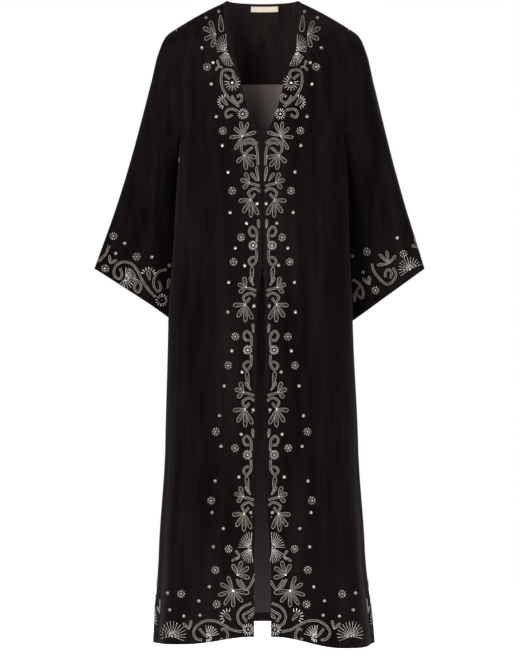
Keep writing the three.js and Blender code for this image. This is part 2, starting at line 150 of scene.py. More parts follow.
def curve_points(points, steps=24):
    """Points along a smooth curve through the given ones, in any number of dimensions."""
    p = np.array(points, float)
    p = np.vstack([2 * p[0] - p[1], p, 2 * p[-1] - p[-2]])
    t = np.linspace(0, 1, steps, endpoint=False)[:, None]
    pieces = []
    for a, b, c, d in zip(p, p[1:], p[2:], p[3:]):
        ab, bc, cd = (max(1e-6, np.linalg.norm(v) ** 0.5) for v in (b - a, c - b, d - c))
        m1 = ((b - a) / ab - (c - a) / (ab + bc) + (c - b) / bc) * bc
        m2 = ((c - b) / bc - (d - b) / (bc + cd) + (d - c) / cd) * bc
        pieces.append(b + m1 * t + (3 * (c - b) - 2 * m1 - m2) * t**2 + (2 * (b - c) + m1 + m2) * t**3)
    return np.vstack(pieces + [p[-2:-1]])


def along(points, shares):
    """Places at shares, from 0 to 1, of a polyline's length."""
    lengths = np.r_[0, np.cumsum(np.linalg.norm(np.diff(points, axis=0), axis=1))]
    at = np.asarray(shares) * lengths[-1]
    return np.stack([np.interp(at, lengths, axis) for axis in points.T], axis=-1)


def skirt_fold(angle, z):
    out = 0
    for at, width, height, top in SKIRT_FOLDS:
        turn = (np.degrees(angle) - at + 540) % 360 - 180
        out = out + height * eased((top - z) / (top - HEM_Z)) * np.exp(-((turn / width) ** 2))
    return out


def section_point(angle, z):
    """A point of the body below the underarm, at an angle from centre front."""
    s, c = np.sin(angle), np.cos(angle)
    half = np.where(s < 0, at_height(LEFT_HALF_WIDTH, z), at_height(RIGHT_HALF_WIDTH, z))
    depth = np.where(c > 0, at_height(FRONT_DEPTH, z), at_height(BACK_DEPTH, z))
    x = half * np.sign(s) * np.abs(s) ** (2 / SECTION_POWER)
    y = -depth * np.sign(c) * np.abs(c) ** (2 / SECTION_POWER)
    nx, ny = x / half**2, y / depth**2
    reach = skirt_fold(angle, z) / np.hypot(nx, ny)
    return np.stack([x + nx * reach, y + ny * reach, z + 0 * x], axis=-1)


def angle_at_x(x, z, side):
    half = at_height(LEFT_HALF_WIDTH if side < 0 else RIGHT_HALF_WIDTH, z)
    return np.arcsin((x / half) ** (SECTION_POWER / 2))


HEM_HASTE, HEM_SHARPNESS = 1.5, 8


def hem_z(angle):
    """The hem dips towards the sides, sooner on the +X side than on the other."""
    s = np.sin(angle)
    dip_share = eased(HEM_HASTE * np.abs(s))
    corner = (HEM_SIDE_DROP - LEFT_HEM_DROP) * np.abs(s) ** HEM_SHARPNESS
    return HEM_Z - np.where(s < 0, LEFT_HEM_DROP * dip_share + corner, HEM_SIDE_DROP * dip_share)


def beside_seam(points, part):
    """Keeps points on the front (-1) or the back (1) of the plane of the side and shoulder seams."""
    points[..., 1] = part * np.maximum(part * points[..., 1], SEWN_GAP / 2)
    return points


def armhole(turn, side):
    """The armhole's ring, from its top towards the front."""
    top, bottom = np.array([SHOULDER_X, 0, SHOULDER_Z]), np.array([UNDERARM_X, 0, UNDERARM_Z])
    middle = (top + bottom) / 2
    turn = np.asarray(turn)[..., None]
    across = np.where(np.sin(turn) >= 0, np.array(ARMHOLE_FRONT), np.array(ARMHOLE_BACK)) - middle
    ring = middle + (top - middle) * np.cos(turn) + across * np.abs(np.sin(turn))
    return ring * (side, 1, 1)


def shoulder(t, side, part):
    t = np.asarray(t)
    x = NECK_X + (SHOULDER_X - NECK_X) * t
    z = SHOULDER_Z * t + SHOULDER_RISE * np.sin(np.pi * t)
    return np.stack([side * x, part * SEWN_GAP / 2 + 0 * x, z], axis=-1)


PATCH_RISE = 1.5


def patch(bottom, top, inner, outer, u, v):
    """A four-sided patch between four edges, each a function of 0 to 1. Up the patch less and less
    of the bottom edge is followed, as the armhole cuts the body's side away."""
    a = (eased(u) ** ARMHOLE_PULL)[None, :, None]
    b = (v[:, None] ** PATCH_RISE)[..., None]
    followed = (1 - ARMHOLE_CUT * eased(v / ARMHOLE_CUT_HEIGHT))[:, None]

    def across(t):
        return bottom(t[None, :] * followed) * (1 - b) + top(t)[None] * b

    first, last = across(np.array([0.0])), across(np.array([1.0]))
    return across(u) + (inner(v)[:, None] - first) * (1 - a) + (outer(v)[:, None] - last) * a


V_CURVE = curve_points(V_EDGE)
BACK_CURVE = curve_points(CENTRE_BACK)


def front_grid(side, u, low, high):
    """One front: u from the front edge to the side seam, low and high are shares of its height."""
    z = hem_z(side * u * np.pi / 2)[None, :] * (1 - low[:, None]) + UNDERARM_Z * low[:, None]
    first = angle_at_x(at_height(LEFT_EDGE_X if side < 0 else RIGHT_EDGE_X, z), z, side)
    skirt = beside_seam(section_point(side * (first + (np.pi / 2 - first) * u), z), -1)
    start = angle_at_x(V_EDGE[0][0], UNDERARM_Z, side)
    bodice = patch(
        lambda t: beside_seam(
            section_point(side * (start + (np.pi / 2 - start) * t), UNDERARM_Z + 0 * t), -1
        ),
        lambda t: shoulder(t, side, -1),
        lambda t: along(V_CURVE, t) * (side, 1, 1),
        lambda t: beside_seam(armhole(np.pi * (1 - t), side), -1),
        u,
        high,
    )
    return np.concatenate([skirt, bodice[1:]])


def back_top(share, side):
    """The back's top edge: half of the neck, then the shoulder seam."""
    t = np.clip(share / NECK_SHARE, 0, 1)
    rounded = (1 - t * t) ** NECK_ROUNDNESS
    neck_depth = np.maximum(NECK_DEPTH * rounded, SEWN_GAP / 2)
    neck = np.stack([side * NECK_X * t, neck_depth, NECK_RISE * rounded], -1)
    over = shoulder(np.clip((share - NECK_SHARE) / (1 - NECK_SHARE), 0, 1), side, 1)
    return np.where((share <= NECK_SHARE)[:, None], neck, over)


def back_half_grid(side, u, low, high):
    angle = np.pi - side * (np.pi / 2) * u
    z = hem_z(angle)[None, :] * (1 - low[:, None]) + UNDERARM_Z * low[:, None]
    skirt = beside_seam(section_point(angle + 0 * z, z), 1)
    bodice = patch(
        lambda t: beside_seam(section_point(np.pi - side * (np.pi / 2) * t, UNDERARM_Z + 0 * t), 1),
        lambda t: back_top(t, side),
        lambda t: along(BACK_CURVE, t),
        lambda t: beside_seam(armhole(-np.pi * (1 - t), side), 1),
        u,
        high,
    )
    return np.concatenate([skirt, bodice[1:]])


def sleeve_grid(side, turns, shares):
    """A sleeve's rings from cuff to armhole, turns going round from the outer edge to the front."""
    turn, t = turns[None, :], shares[:, None]
    guide = lambda points: along(curve_points(points), shares)[:, None]
    top = guide(SLEEVE_OUTER)
    top[..., 0] += CUFF_REACH[side] * t**2
    middle = (top + guide(SLEEVE_INNER)) / 2
    across = np.where(np.sin(turn)[..., None] >= 0, guide(SLEEVE_FRONT), guide(SLEEVE_BACK)) - middle
    fullness = 1 + (0.22 * np.sin(turn) ** 2 - 0.22) * eased(2 * t)
    fold = 0
    for at, width, height, start in SLEEVE_FOLDS:
        away = (np.degrees(turn) - at + 540) % 360 - 180
        fold = fold + height * eased((t - start) / (1 - start)) * np.exp(-((away / width) ** 2))
    reach = 1 + fold / np.linalg.norm(across, axis=-1)
    ring = middle + (top - middle) * np.cos(turn)[..., None]
    ring = ring + across * (np.abs(np.sin(turn)) * fullness * reach)[..., None]
    ring[..., 0] = side * (ring[..., 0] + ARMHOLE_GAP * (1 - eased(8 * t)))
    return ring[::-1]


def normals_of(grid, closed=False):
    """Unit normals of a grid whose columns run right and rows run up, seen from outside."""
    if closed:
        right = np.roll(grid, -1, axis=1) - np.roll(grid, 1, axis=1)
    else:
        right = np.gradient(grid, axis=1)
    normals = np.cross(right, np.gradient(grid, axis=0))
    return normals / np.maximum(np.linalg.norm(normals, axis=-1, keepdims=True), 1e-9)


def crease_height(points, creases):
    """How far a list of creases lifts each point, by its distance from them in x and z."""
    flat = points[..., (0, 2)]
    out = np.zeros(flat.shape[:-1])
    for path, width, height in creases:
        line = along(curve_points(path, 8), np.linspace(0, 1, 40))
        away = np.linalg.norm(flat[..., None, :] - line, axis=-1)
        nearest = away.argmin(axis=-1)
        fade = np.sin(np.pi * np.clip((nearest + 1) / 41, 0, 1)) ** 0.6
        out += height * fade * np.exp(-((away.min(axis=-1) / width) ** 2))
    return out * CREASE_STRENGTH


# ---------------------------------------------------------------- cloth in fine steps

HEM_ROWS = [0, 3, 7, 12, 17, 20, 23, 28]
LOW = np.r_[np.array(HEM_ROWS) / (UNDERARM_Z - HEM_Z), np.linspace(0.034, 1, 132)]
HIGH = np.linspace(0, 1, 54)
PANEL = np.linspace(0, 1, 52)
TURNS = np.linspace(0, 2 * np.pi, 97)
SLEEVE_SHARES = np.r_[0, 0.006, 0.014, np.linspace(0.024, 0.96, 68), 0.972, 0.982, 0.991, 1]
SEAM_ALLOWANCE = [(0.972, 0.6), (0.95, 4), (0.945, 11)]
SEAM_DIP, SEAM_REACH, SEAM_HOLD = 0.4, 2.6, 16
HEM_LINE, HEM_LINE_DEPTH, HEM_LINE_REACH = 20, 0.7, 2.6


SEAM_CROWDING = 1.25


def towards_seam(count_share):
    """Shares of a panel's width, closer together beside the seam at its end."""
    return 1 - (1 - count_share) ** SEAM_CROWDING


def distance_from_start(grid, axis):
    steps = np.linalg.norm(np.diff(grid, axis=axis), axis=-1)
    return np.concatenate([np.zeros_like(steps.take([0], axis)), np.cumsum(steps, axis=axis)], axis=axis)


def dip(away, depth=SEAM_DIP, reach=SEAM_REACH):
    return -depth * np.exp(-((away / reach) ** 2))


def finished(grid, creases, seams, held, closed=False):
    """Adds creases, the dips along seams and the stitched line of the hem to a grid. Creases die out
    where the cloth is held, which is given as the distance from the nearest seam."""
    normals = normals_of(grid, closed)
    free = 1 - np.exp(-((held / SEAM_HOLD) ** 2))
    lift = crease_height(grid, creases) * free + seams
    return grid + normals * lift[..., None]


def front_surface(side):
    grid = front_grid(side, towards_seam(PANEL), LOW, HIGH)
    across, up = distance_from_start(grid, 1), distance_from_start(grid, 0)
    held = np.minimum(across[:, -1:] - across, up[-1:] - up)
    seams = dip(up - HEM_LINE, HEM_LINE_DEPTH, HEM_LINE_REACH) + dip(held)
    if side < 0:
        grid, seams, held = grid[:, ::-1], seams[:, ::-1], held[:, ::-1]
    creases = [c for c in FRONT_CREASES if side * c[0][1][0] > 0]
    return finished(grid, creases, seams, held)


def back_surface(u, low=LOW, high=HIGH, seamed=False):
    """The back between its side seams, u from -1 at the -X seam to 1."""
    sides = ((1, u[u > 0]), (-1, u[u <= 0]))
    halves = [back_half_grid(side, np.abs(part), low, high) for side, part in sides]
    grid = np.concatenate([halves[0][:, ::-1], halves[1][:, ::-1]], axis=1)
    across, up = distance_from_start(grid, 1), distance_from_start(grid, 0)
    if not seamed:
        return finished(grid, BACK_CREASES, 0, SEAM_HOLD * 3)
    held = np.minimum(across, across[:, -1:] - across)
    seams = dip(up - HEM_LINE, HEM_LINE_DEPTH, HEM_LINE_REACH) + dip(held)
    return finished(grid, BACK_CREASES, seams, held)


def sleeve_surface(side):
    grid = sleeve_grid(side, TURNS[:-1] if side < 0 else TURNS[:-1][::-1], SLEEVE_SHARES)
    up = distance_from_start(grid, 0)
    held = up[-1:] - up
    seams = dip(up - HEM_LINE, HEM_LINE_DEPTH, HEM_LINE_REACH)
    creases = [([(side * x, z) for x, z in path], width, height) for path, width, height in SLEEVE_CREASES]
    sleeve = finished(grid, creases, seams, held, closed=True)
    middle = sleeve[-1].mean(axis=0)
    allowance = [middle + (sleeve[-1] - middle) * size - (side * into, 0, 0) for size, into in SEAM_ALLOWANCE]
    return np.concatenate([sleeve, allowance])


# ---------------------------------------------------------------- finishes


class Number:
    """A shader value: sums and products of it add the Math nodes that they need."""

    def __init__(self, finish, socket):
        self.finish, self.socket = finish, socket

    def math(self, operation, *values):
        node = self.finish.node("ShaderNodeMath", {"operation": operation}, dict(enumerate(values)))
        return Number(self.finish, node.outputs[0])

    def __add__(self, other):
        return self.math("ADD", self, other)

    def __sub__(self, other):
        return self.math("SUBTRACT", self, other)

    def __rsub__(self, other):
        return self.math("SUBTRACT", other, self)

    def __mul__(self, other):
        return self.math("MULTIPLY", self, other)

    def __pow__(self, other):
        return self.math("POWER", self, other)

    __radd__ = __add__
    __rmul__ = __mul__


class Finish:
    """The nodes of one material, round one Principled shader."""

    def __init__(self, name, **constants):
        self.material = bpy.data.materials.new(name)
        self.material.use_nodes = True
        self.tree = self.material.node_tree
        self.tree.nodes.clear()
        plain = {key.replace("_", " "): value for key, value in constants.items()}
        self.shader = self.node("ShaderNodeBsdfPrincipled", {}, plain)
        self.node("ShaderNodeOutputMaterial", {}, {"Surface": self.shader.outputs[0]})
        self.place = self.node("ShaderNodeTexCoord").outputs["Object"]

    def node(self, kind, settings=(), values=()):
        node = self.tree.nodes.new(kind)
        for key, value in dict(settings).items():
            setattr(node, key, value)
        for key, value in dict(values).items():
            self.give(node.inputs[key], value)
        return node

    def give(self, socket, value):
        if isinstance(value, Number):
            value = value.socket
        if isinstance(value, bpy.types.NodeSocket):
            self.tree.links.new(value, socket)
        else:
            socket.default_value = value

    def sized(self, *scale):
        """The object's own coordinates, scaled along x, y and z."""
        mapping = self.node("ShaderNodeMapping", {}, {"Vector": self.place, "Scale": scale})
        return mapping.outputs[0]

    def noise(self, scale, detail=2.0, place=None, rough=0.5):
        values = {"Vector": place or self.place, "Scale": scale, "Detail": detail, "Roughness": rough}
        return Number(self, self.node("ShaderNodeTexNoise", {}, values).outputs["Fac"])

    def wave(self, scale, direction, place=None):
        settings = {"wave_type": "BANDS", "bands_direction": direction, "wave_profile": "SIN"}
        node = self.node("ShaderNodeTexWave", settings, {"Vector": place or self.place, "Scale": scale})
        return Number(self, node.outputs["Fac"])

    def attribute(self, name):
        return Number(self, self.node("ShaderNodeAttribute", {"attribute_name": name}).outputs["Fac"])

    def colour(self, factor, first, last):
        """The colour between two colours at a factor."""
        node = self.node("ShaderNodeMix", {"data_type": "RGBA"})
        self.give(node.inputs[0], factor)
        self.give(node.inputs[6], first)
        self.give(node.inputs[7], last)
        return node.outputs[2]

    def bump(self, height, strength, distance, under=None):
        values = {"Height": height, "Strength": strength, "Distance": distance}
        if under is not None:
            values["Normal"] = under
        return self.node("ShaderNodeBump", {}, values).outputs[0]

    def set(self, **inputs):
        for key, value in inputs.items():
            self.give(self.shader.inputs[key.replace("_", " ")], value)
        return self.material


def grey(level, warmth=0.0):
    return (level * (1 + warmth), level, level * (1 - warmth), 1)


def velvet_finish(name, dark, light, sheen):
    """Short pile: it darkens and lightens in brushed patches and catches light at its edges."""
    f = Finish(
        name, Sheen_Weight=sheen, Sheen_Roughness=0.42, Sheen_Tint=(1, 0.8, 0.78, 1), Specular_IOR_Level=0.035
    )
    brushed = f.noise(7, 3, f.sized(1.6, 1.6, 0.35), 0.55)
    streaks = f.noise(60, 2, f.sized(1, 1, 0.08))
    pile = f.noise(1500, 1)
    patch = (brushed * 1.7 + streaks * 1.1 - 0.95) * (0.7 + pile * 0.6)
    soft = f.bump(brushed + streaks * 0.6, 0.6, 0.006)
    return f.set(
        Base_Color=f.colour(patch, dark, light),
        Roughness=0.78 + pile * 0.2,
        Normal=f.bump(pile, 0.5, 0.0006, soft),
    )


def lining_finish():
    """A smooth woven lining with a fine twill line and slack ripples, with painted light: lighter than its
    own colour, and lighter towards the top and darker towards the bottom.
    """
    f = Finish("lining_satin", Sheen_Weight=0.2, Sheen_Roughness=0.4, Specular_IOR_Level=0.4)
    twill = f.wave(330, "DIAGONAL")
    threads = f.noise(900, 1, f.sized(1, 1, 0.2))
    ripples = f.noise(9, 2, f.sized(1.5, 1.5, 0.3))
    # Painted light and shade: the colour grows with the object's height, so the lining is darker towards the
    # bottom and lighter towards the top, standing in for the light that falls into the neck.
    height = Number(f, f.node("ShaderNodeSeparateXYZ", {}, {"Vector": f.place}).outputs["Z"])
    shade = (ripples * 0.6 + twill * 0.15 + threads * 0.3 + 0.1) * (1.15 + height * 0.78)
    return f.set(
        Base_Color=f.colour(shade, (0.016, 0.0125, 0.0122, 1), (0.24, 0.18, 0.172, 1)),
        Roughness=0.5 + threads * 0.18,
        Normal=f.bump(twill + threads, 0.25, 0.0003, f.bump(ripples, 0.3, 0.004)),
    )


def label_finish():
    """A plain cream ribbon, woven close, with no words on it."""
    f = Finish("label_ribbon", Sheen_Weight=0.15, Specular_IOR_Level=0.3)
    warp = f.wave(420, "X")
    weft = f.wave(420, "Z")
    shade = warp * 0.35 + weft * 0.35 + f.noise(160, 2) * 0.3
    return f.set(
        Base_Color=f.colour(shade, (0.62, 0.55, 0.42, 1), (0.86, 0.8, 0.68, 1)),
        Roughness=0.62 + warp * 0.15,
        Normal=f.bump(warp * weft, 0.5, 0.0002),
    )


def glass_finish(name, low, high, metallic, rough):
    """Lined glass: each bead has its own depth of colour."""
    f = Finish(name, Metallic=metallic, Coat_Weight=0.35, Coat_Roughness=0.12)
    shade = f.attribute("shade")
    clouds = f.noise(700, 1)
    return f.set(
        Base_Color=f.colour(shade * 0.85 + clouds * 0.25, low, high),
        Roughness=rough + clouds * 0.15,
    )


def steel_finish():
    f = Finish("hook_steel", Metallic=1.0)
    scratches = f.noise(1800, 2, f.sized(1, 4, 4))
    return f.set(
        Base_Color=f.colour(scratches, grey(0.12), grey(0.3)),
        Roughness=0.28 + scratches * 0.2,
        Normal=f.bump(scratches, 0.15, 0.0001),
    )


VELVET = velvet_finish("pile_velvet", (0.0017, 0.001, 0.001, 1), (0.0088, 0.0056, 0.0055, 1), 0.025)
# Painted light: the neck and hem facings are the robe's own velvet, given lighter colours (and more sheen)
# than the outside so that they read lighter than the shade inside the robe makes them.
PAINTED_LIGHT_FACING_VELVET = velvet_finish("facing_velvet_painted_light", (0.008, 0.0052, 0.0051, 1), (0.021, 0.0145, 0.014, 1), 0.06)
BAND_VELVET = velvet_finish("band_velvet", (0.003, 0.0025, 0.0027, 1), (0.008, 0.0066, 0.007, 1), 0.12)
LINING_SATIN = lining_finish()
LABEL_RIBBON = label_finish()
SEED_GLASS = glass_finish("seed_glass", (0.09, 0.076, 0.064, 1), (0.46, 0.41, 0.36, 1), 0.55, 0.26)
BUGLE_GLASS = glass_finish("bugle_glass", (0.2, 0.18, 0.165, 1), (0.74, 0.7, 0.66, 1), 0.6, 0.16)
SEQUIN_FOIL = glass_finish("sequin_foil", (0.22, 0.2, 0.18, 1), (0.85, 0.8, 0.76, 1), 0.9, 0.22)
HOOK_STEEL = steel_finish()


# ---------------------------------------------------------------- pieces of cloth


def belongs(piece, replaced=()):
    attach(piece, "root")
    if replaced:
        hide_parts(*replaced)
    return piece


def cloth_piece(name, grid, thickness, outside, inside, closed=False):
    """A grid set on the robe's form and given its thickness inwards, with a lining side."""
    if closed:
        grid = np.concatenate([grid, grid[:, :1]], axis=1)
    rows, columns = grid.shape[:2]
    bpy.ops.object.select_all(action="DESELECT")
    bpy.ops.mesh.primitive_grid_add(
        x_subdivisions=columns - 1, y_subdivisions=rows - 1, size=1, calc_uvs=True
    )
    piece = bpy.context.object
    piece.name = name + "_cloth"
    flat = np.empty(len(piece.data.vertices) * 3)
    piece.data.vertices.foreach_get("co", flat)
    flat = flat.reshape(-1, 3) + 0.5
    row = np.rint(flat[:, 1] * (rows - 1)).astype(int)
    column = np.rint(flat[:, 0] * (columns - 1)).astype(int)
    piece.data.vertices.foreach_set("co", (grid[row, column] * MM).ravel())
    piece.data.update()
    if closed:
        bpy.ops.object.mode_set(mode="EDIT")
        bpy.ops.mesh.select_all(action="SELECT")
        bpy.ops.mesh.remove_doubles(threshold=1e-6)
        bpy.ops.object.mode_set(mode="OBJECT")
    piece.data.materials.append(outside)
    piece.data.materials.append(inside)
    wall = piece.modifiers.new("wall", "SOLIDIFY")
    wall.thickness = thickness * MM
    wall.offset = -1
    wall.material_offset = 1
    bpy.ops.object.modifier_apply(modifier="wall")
    bpy.ops.object.shade_smooth_by_angle(angle=math.radians(50))
    return belongs(piece, [name])


def moved_in(grid, depth):
    return grid - normals_of(grid) * depth


def make_body():
    back = back_surface(np.r_[-towards_seam(PANEL)[::-1], towards_seam(PANEL)[1:]], seamed=True)
    cloth_piece("back", back, CLOTH, VELVET, LINING_SATIN)
    for name, side in (("left", -1), ("right", 1)):
        cloth_piece("front_" + name, front_surface(side), CLOTH, VELVET, LINING_SATIN)
        surface = sleeve_surface(side)
        cloth_piece("sleeve_" + name, surface, CLOTH, VELVET, LINING_SATIN, closed=True)
        make_band("edge_band_" + name, side)


BAND_WIDTH = 9.5
BAND_SHARES = np.array([0, 0.08, 0.2, 0.4, 0.6, 0.8, 0.92, 1])
BAND_CROWN = 0.9


def make_band(name, side):
    """A narrow strip along the front edge, crowned a little across its width."""
    surface = front_surface(side)
    inner = surface[:, ::-1] if side < 0 else surface
    away = distance_from_start(inner, 1)
    places = BAND_WIDTH * BAND_SHARES
    strip = np.stack([[np.interp(places, a, line[:, k]) for k in range(3)] for a, line in zip(away, inner)])
    strip = strip.transpose(0, 2, 1)
    if side < 0:
        strip = strip[:, ::-1]
    crown = SEAM_GAP + 0.4 + BAND_CROWN * np.sin(np.pi * BAND_SHARES) ** 0.5
    strip = strip + normals_of(strip) * crown[None, :, None]
    cloth_piece(name, strip, 0.4, BAND_VELVET, BAND_VELVET)


FACING_HALF, FACING_SHARE = 0.7, 0.455
LINING_HALF = 0.8
HEM_FACING_SHARE = 20 / (UNDERARM_Z - HEM_Z)


def make_inner_pieces():
    """The neck facing, the lining and the hem facing lie inside the back, a seam's gap off it."""
    depth = CLOTH + SEAM_GAP
    trim = 0.0012
    facing = np.linspace(-FACING_HALF, FACING_HALF, 64)
    lining = np.linspace(-LINING_HALF, LINING_HALF, 78)
    none = np.array([0.0])
    top = back_surface(facing, np.array([0.5, 1.0]), np.r_[0, np.linspace(FACING_SHARE + trim, 1, 40)])[2:]
    cloth_piece("facing_back_neck", moved_in(top, depth), LINING, PAINTED_LIGHT_FACING_VELVET, PAINTED_LIGHT_FACING_VELVET)
    low = np.linspace(HEM_FACING_SHARE + trim / 3, 1, 96)
    middle = back_surface(lining, low, np.linspace(0, FACING_SHARE - trim, 28))
    cloth_piece("lining_back", moved_in(middle, depth), LINING, LINING_SATIN, LINING_SATIN)
    hem = back_surface(lining, np.linspace(0, HEM_FACING_SHARE, 5), none)
    cloth_piece("facing_back_hem", moved_in(hem, depth), LINING, PAINTED_LIGHT_FACING_VELVET, PAINTED_LIGHT_FACING_VELVET)


LABEL_MIDDLE, LABEL_WIDTH, LABEL_HEIGHT, LABEL_DROP, LABEL_THICKNESS = 5, 64, 12.5, 5.5, 0.5


def make_label():
    """A blank ribbon label on the facing, just under the edge of the neck."""
    length = distance_from_start(BACK_CURVE, 0)[-1]
    x = LABEL_MIDDLE + np.linspace(-0.5, 0.5, 34) * LABEL_WIDTH
    shares = 1 - (LABEL_DROP + np.linspace(1, 0, 9) * LABEL_HEIGHT) / length
    grid = back_surface(x / NECK_X * NECK_SHARE, np.array([0.5, 1.0]), np.r_[0, shares])[2:]
    depth = CLOTH + LINING + 3 * SEAM_GAP
    cloth_piece("label", moved_in(grid, depth), LABEL_THICKNESS, LABEL_RIBBON, LABEL_RIBBON)


# ---------------------------------------------------------------- beads, bugles and sequins

CENTRE_X = -2
EYES = {
    "front": (-5.6, -5000, -729),
    "back": (0, 5000, -729),
    "left": (-5000, 0, -729),
    "right": (5000, 0, -729),
}


def seed_bead():
    bpy.ops.mesh.primitive_uv_sphere_add(segments=6, ring_count=3, radius=0.5)
    return "SMOOTH"


def bugle():
    bpy.ops.mesh.primitive_cylinder_add(vertices=5, radius=0.5, depth=1, rotation=(0, math.pi / 2, 0))
    bpy.ops.object.transform_apply(location=False, rotation=True, scale=True)
    return "SMOOTH"


def sequin():
    """A shallow cup with a hole's dimple in the middle."""
    bpy.ops.mesh.primitive_cylinder_add(vertices=8, radius=0.5, depth=0.5)
    bpy.ops.object.mode_set(mode="EDIT")
    bpy.ops.mesh.select_mode(type="FACE")
    bpy.ops.mesh.select_all(action="DESELECT")
    bpy.ops.object.mode_set(mode="OBJECT")
    for face in bpy.context.object.data.polygons:
        face.select = face.normal.z > 0.9
    bpy.ops.object.mode_set(mode="EDIT")
    bpy.ops.mesh.inset(thickness=0.3, depth=-0.28)
    bpy.ops.object.mode_set(mode="OBJECT")
    return "FLAT"


def seed_shape(maker):
    """A small shape modelled once: its points, its triangles and whether it is shaded smooth."""
    bpy.ops.object.select_all(action="DESELECT")
    shading = maker()
    piece = bpy.context.object
    piece.modifiers.new("triangles", "TRIANGULATE")
    bpy.ops.object.modifier_apply(modifier="triangles")
    points = np.array([v.co for v in piece.data.vertices])
    faces = np.array([tuple(p.vertices) for p in piece.data.polygons])
    bpy.data.objects.remove(piece)
    return points, faces, shading == "SMOOTH"


class Needlework:
    """What is sewn to one panel: spots in the flat picture of it from one side, sewn on at the end."""

    def __init__(self, name, targets):
        self.name = name
        graph = bpy.context.evaluated_depsgraph_get()
        self.trees = [BVHTree.FromObject(bpy.data.objects[target + "_cloth"], graph) for target in targets]
        self.spots = {"beads": [], "bugles": [], "sequins": []}
        self.eye = "front"
        self.map = lambda points: points
        self.flip = 1
        self.random = np.random.default_rng(len(name) * 7 + ord(name[-1]))

    def put(self, kind, flat, along_flat, sizes, shade):
        flat = self.map(np.atleast_2d(flat).astype(float))
        ahead = np.broadcast_to(np.atleast_2d(along_flat), flat.shape)
        shades = np.clip(shade + self.random.normal(0, 0.13, len(flat)), 0, 1)
        for place, direction, s in zip(flat, ahead, shades):
            self.spots[kind].append((self.eye, place, direction, sizes, s))

    def surface(self, eye, place):
        """Where the straight line from an eye through a flat place meets the cloth."""
        start = Vector(EYES[eye]) * MM
        across = [-place if abs(place) > 1 else 0 for place in (start.x, start.y)]
        look = Vector((*across, 0)).normalized()
        right = look.cross(Vector((0, 0, 1)))
        target = right * (place[0] * MM) + Vector((0, 0, place[1] * MM))
        ray = (target - start).normalized()
        best = None
        for tree in self.trees:
            point, normal, _, distance = tree.ray_cast(start, ray)
            if point is not None and (best is None or distance < best[2]):
                best = (point, normal if normal.dot(ray) < 0 else -normal, distance)
        return best and (np.array(best[0]), np.array(best[1]), np.array(right))

    def finish(self, kind, shape, material, slot, height):
        """Joins all of one kind into one mesh, each copy lying on the cloth."""
        points, faces, smooth = shape
        places, turns, shades = [], [], []
        for eye, flat, direction, sizes, shade in self.spots[kind]:
            met = self.surface(eye, flat)
            if met is None:
                continue
            place, normal, right = met
            ahead = right * direction[0] + np.array([0, 0, direction[1]])
            ahead = ahead - normal * (ahead @ normal)
            ahead = ahead / max(1e-9, np.linalg.norm(ahead))
            frame_of = np.stack([ahead * sizes[0], np.cross(normal, ahead) * sizes[1], normal * sizes[2]])
            places.append(place + normal * height * sizes[2] * MM)
            turns.append(frame_of * MM)
            shades.append(shade)
        if not places:
            return None
        all_points = np.einsum("pk,nkd->npd", points, np.array(turns)) + np.array(places)[:, None]
        all_faces = faces[None] + (np.arange(len(places)) * len(points))[:, None, None]
        mesh = bpy.data.meshes.new(self.name + "_" + kind)
        mesh.from_pydata(all_points.reshape(-1, 3), [], all_faces.reshape(-1, 3))
        attribute = mesh.attributes.new("shade", "FLOAT", "POINT")
        attribute.data.foreach_set("value", np.repeat(shades, len(points)).astype(np.float32))
        mesh.polygons.foreach_set("use_smooth", np.full(len(mesh.polygons), smooth))
        mesh.materials.append(material)
        piece = bpy.data.objects.new(self.name + "_" + kind, mesh)
        bpy.context.scene.collection.objects.link(piece)
        return belongs(piece)


BEAD = (2.55, 2.7, 2.1)
PITCH = 2.55
ROW_OFFSET = 1.75


def bead_row(work, line, shade=0.5, pitch=PITCH, size=BEAD):
    """Beads along a line of flat points, which is already mapped to the panel."""
    length = np.linalg.norm(np.diff(line, axis=0), axis=1).sum()
    count = max(2, round(length / pitch))
    spots = along(line, (np.arange(count) + 0.5) / count)
    ahead = np.gradient(spots, axis=0)
    ahead = ahead / np.maximum(1e-9, np.linalg.norm(ahead, axis=1, keepdims=True))
    saved, work.map = work.map, lambda points: points
    for spot, direction in zip(spots, ahead):
        work.put("beads", spot, direction, size, shade)
    work.map = saved


def cord(work, route, shade=0.5):
    """Two rows of beads, side by side, along a smooth line."""
    line = work.map(curve_points(route, 10))
    ahead = np.gradient(line, axis=0)
    ahead = ahead / np.linalg.norm(ahead, axis=1, keepdims=True)
    beside = np.stack([-ahead[:, 1], ahead[:, 0]], axis=1)
    for offset in (-ROW_OFFSET, ROW_OFFSET):
        bead_row(work, line + beside * offset, shade + 0.04 * offset)


def petal(work, root, tip, width=12, shade=0.5, filled=True):
    """A drop-shaped outline of beads from a pointed root to a round tip, with a row inside it."""
    root, tip = (work.map(np.array([p], float))[0] for p in (root, tip))
    axis = tip - root
    beside = np.array([-axis[1], axis[0]]) / np.linalg.norm(axis)
    t = np.linspace(0.04, 1, 22)
    half = (width / 2 - BEAD[1] / 2) * 1.28 * t**0.75 * (1 - t**4) ** 0.5
    sides = [root + axis * t[:, None] + beside * (s * half)[:, None] for s in (-1, 1)]
    bead_row(work, np.vstack([sides[0], sides[1][::-1][1:]]), shade)
    if filled and width > 7:
        bead_row(work, root + axis * np.linspace(0.3, 0.76, 5)[:, None], shade - 0.24, size=(2.1, 2.1, 1.5))


def palmette(work, node, tips, width=12, shade=0.5):
    """Petals spread from one point, with a bright sequin where they meet."""
    for tip in tips:
        petal(work, node, tip, width, shade)
    work.put("sequins", node, (1, 0), (3.6, 3.6, 2.2), 0.7)


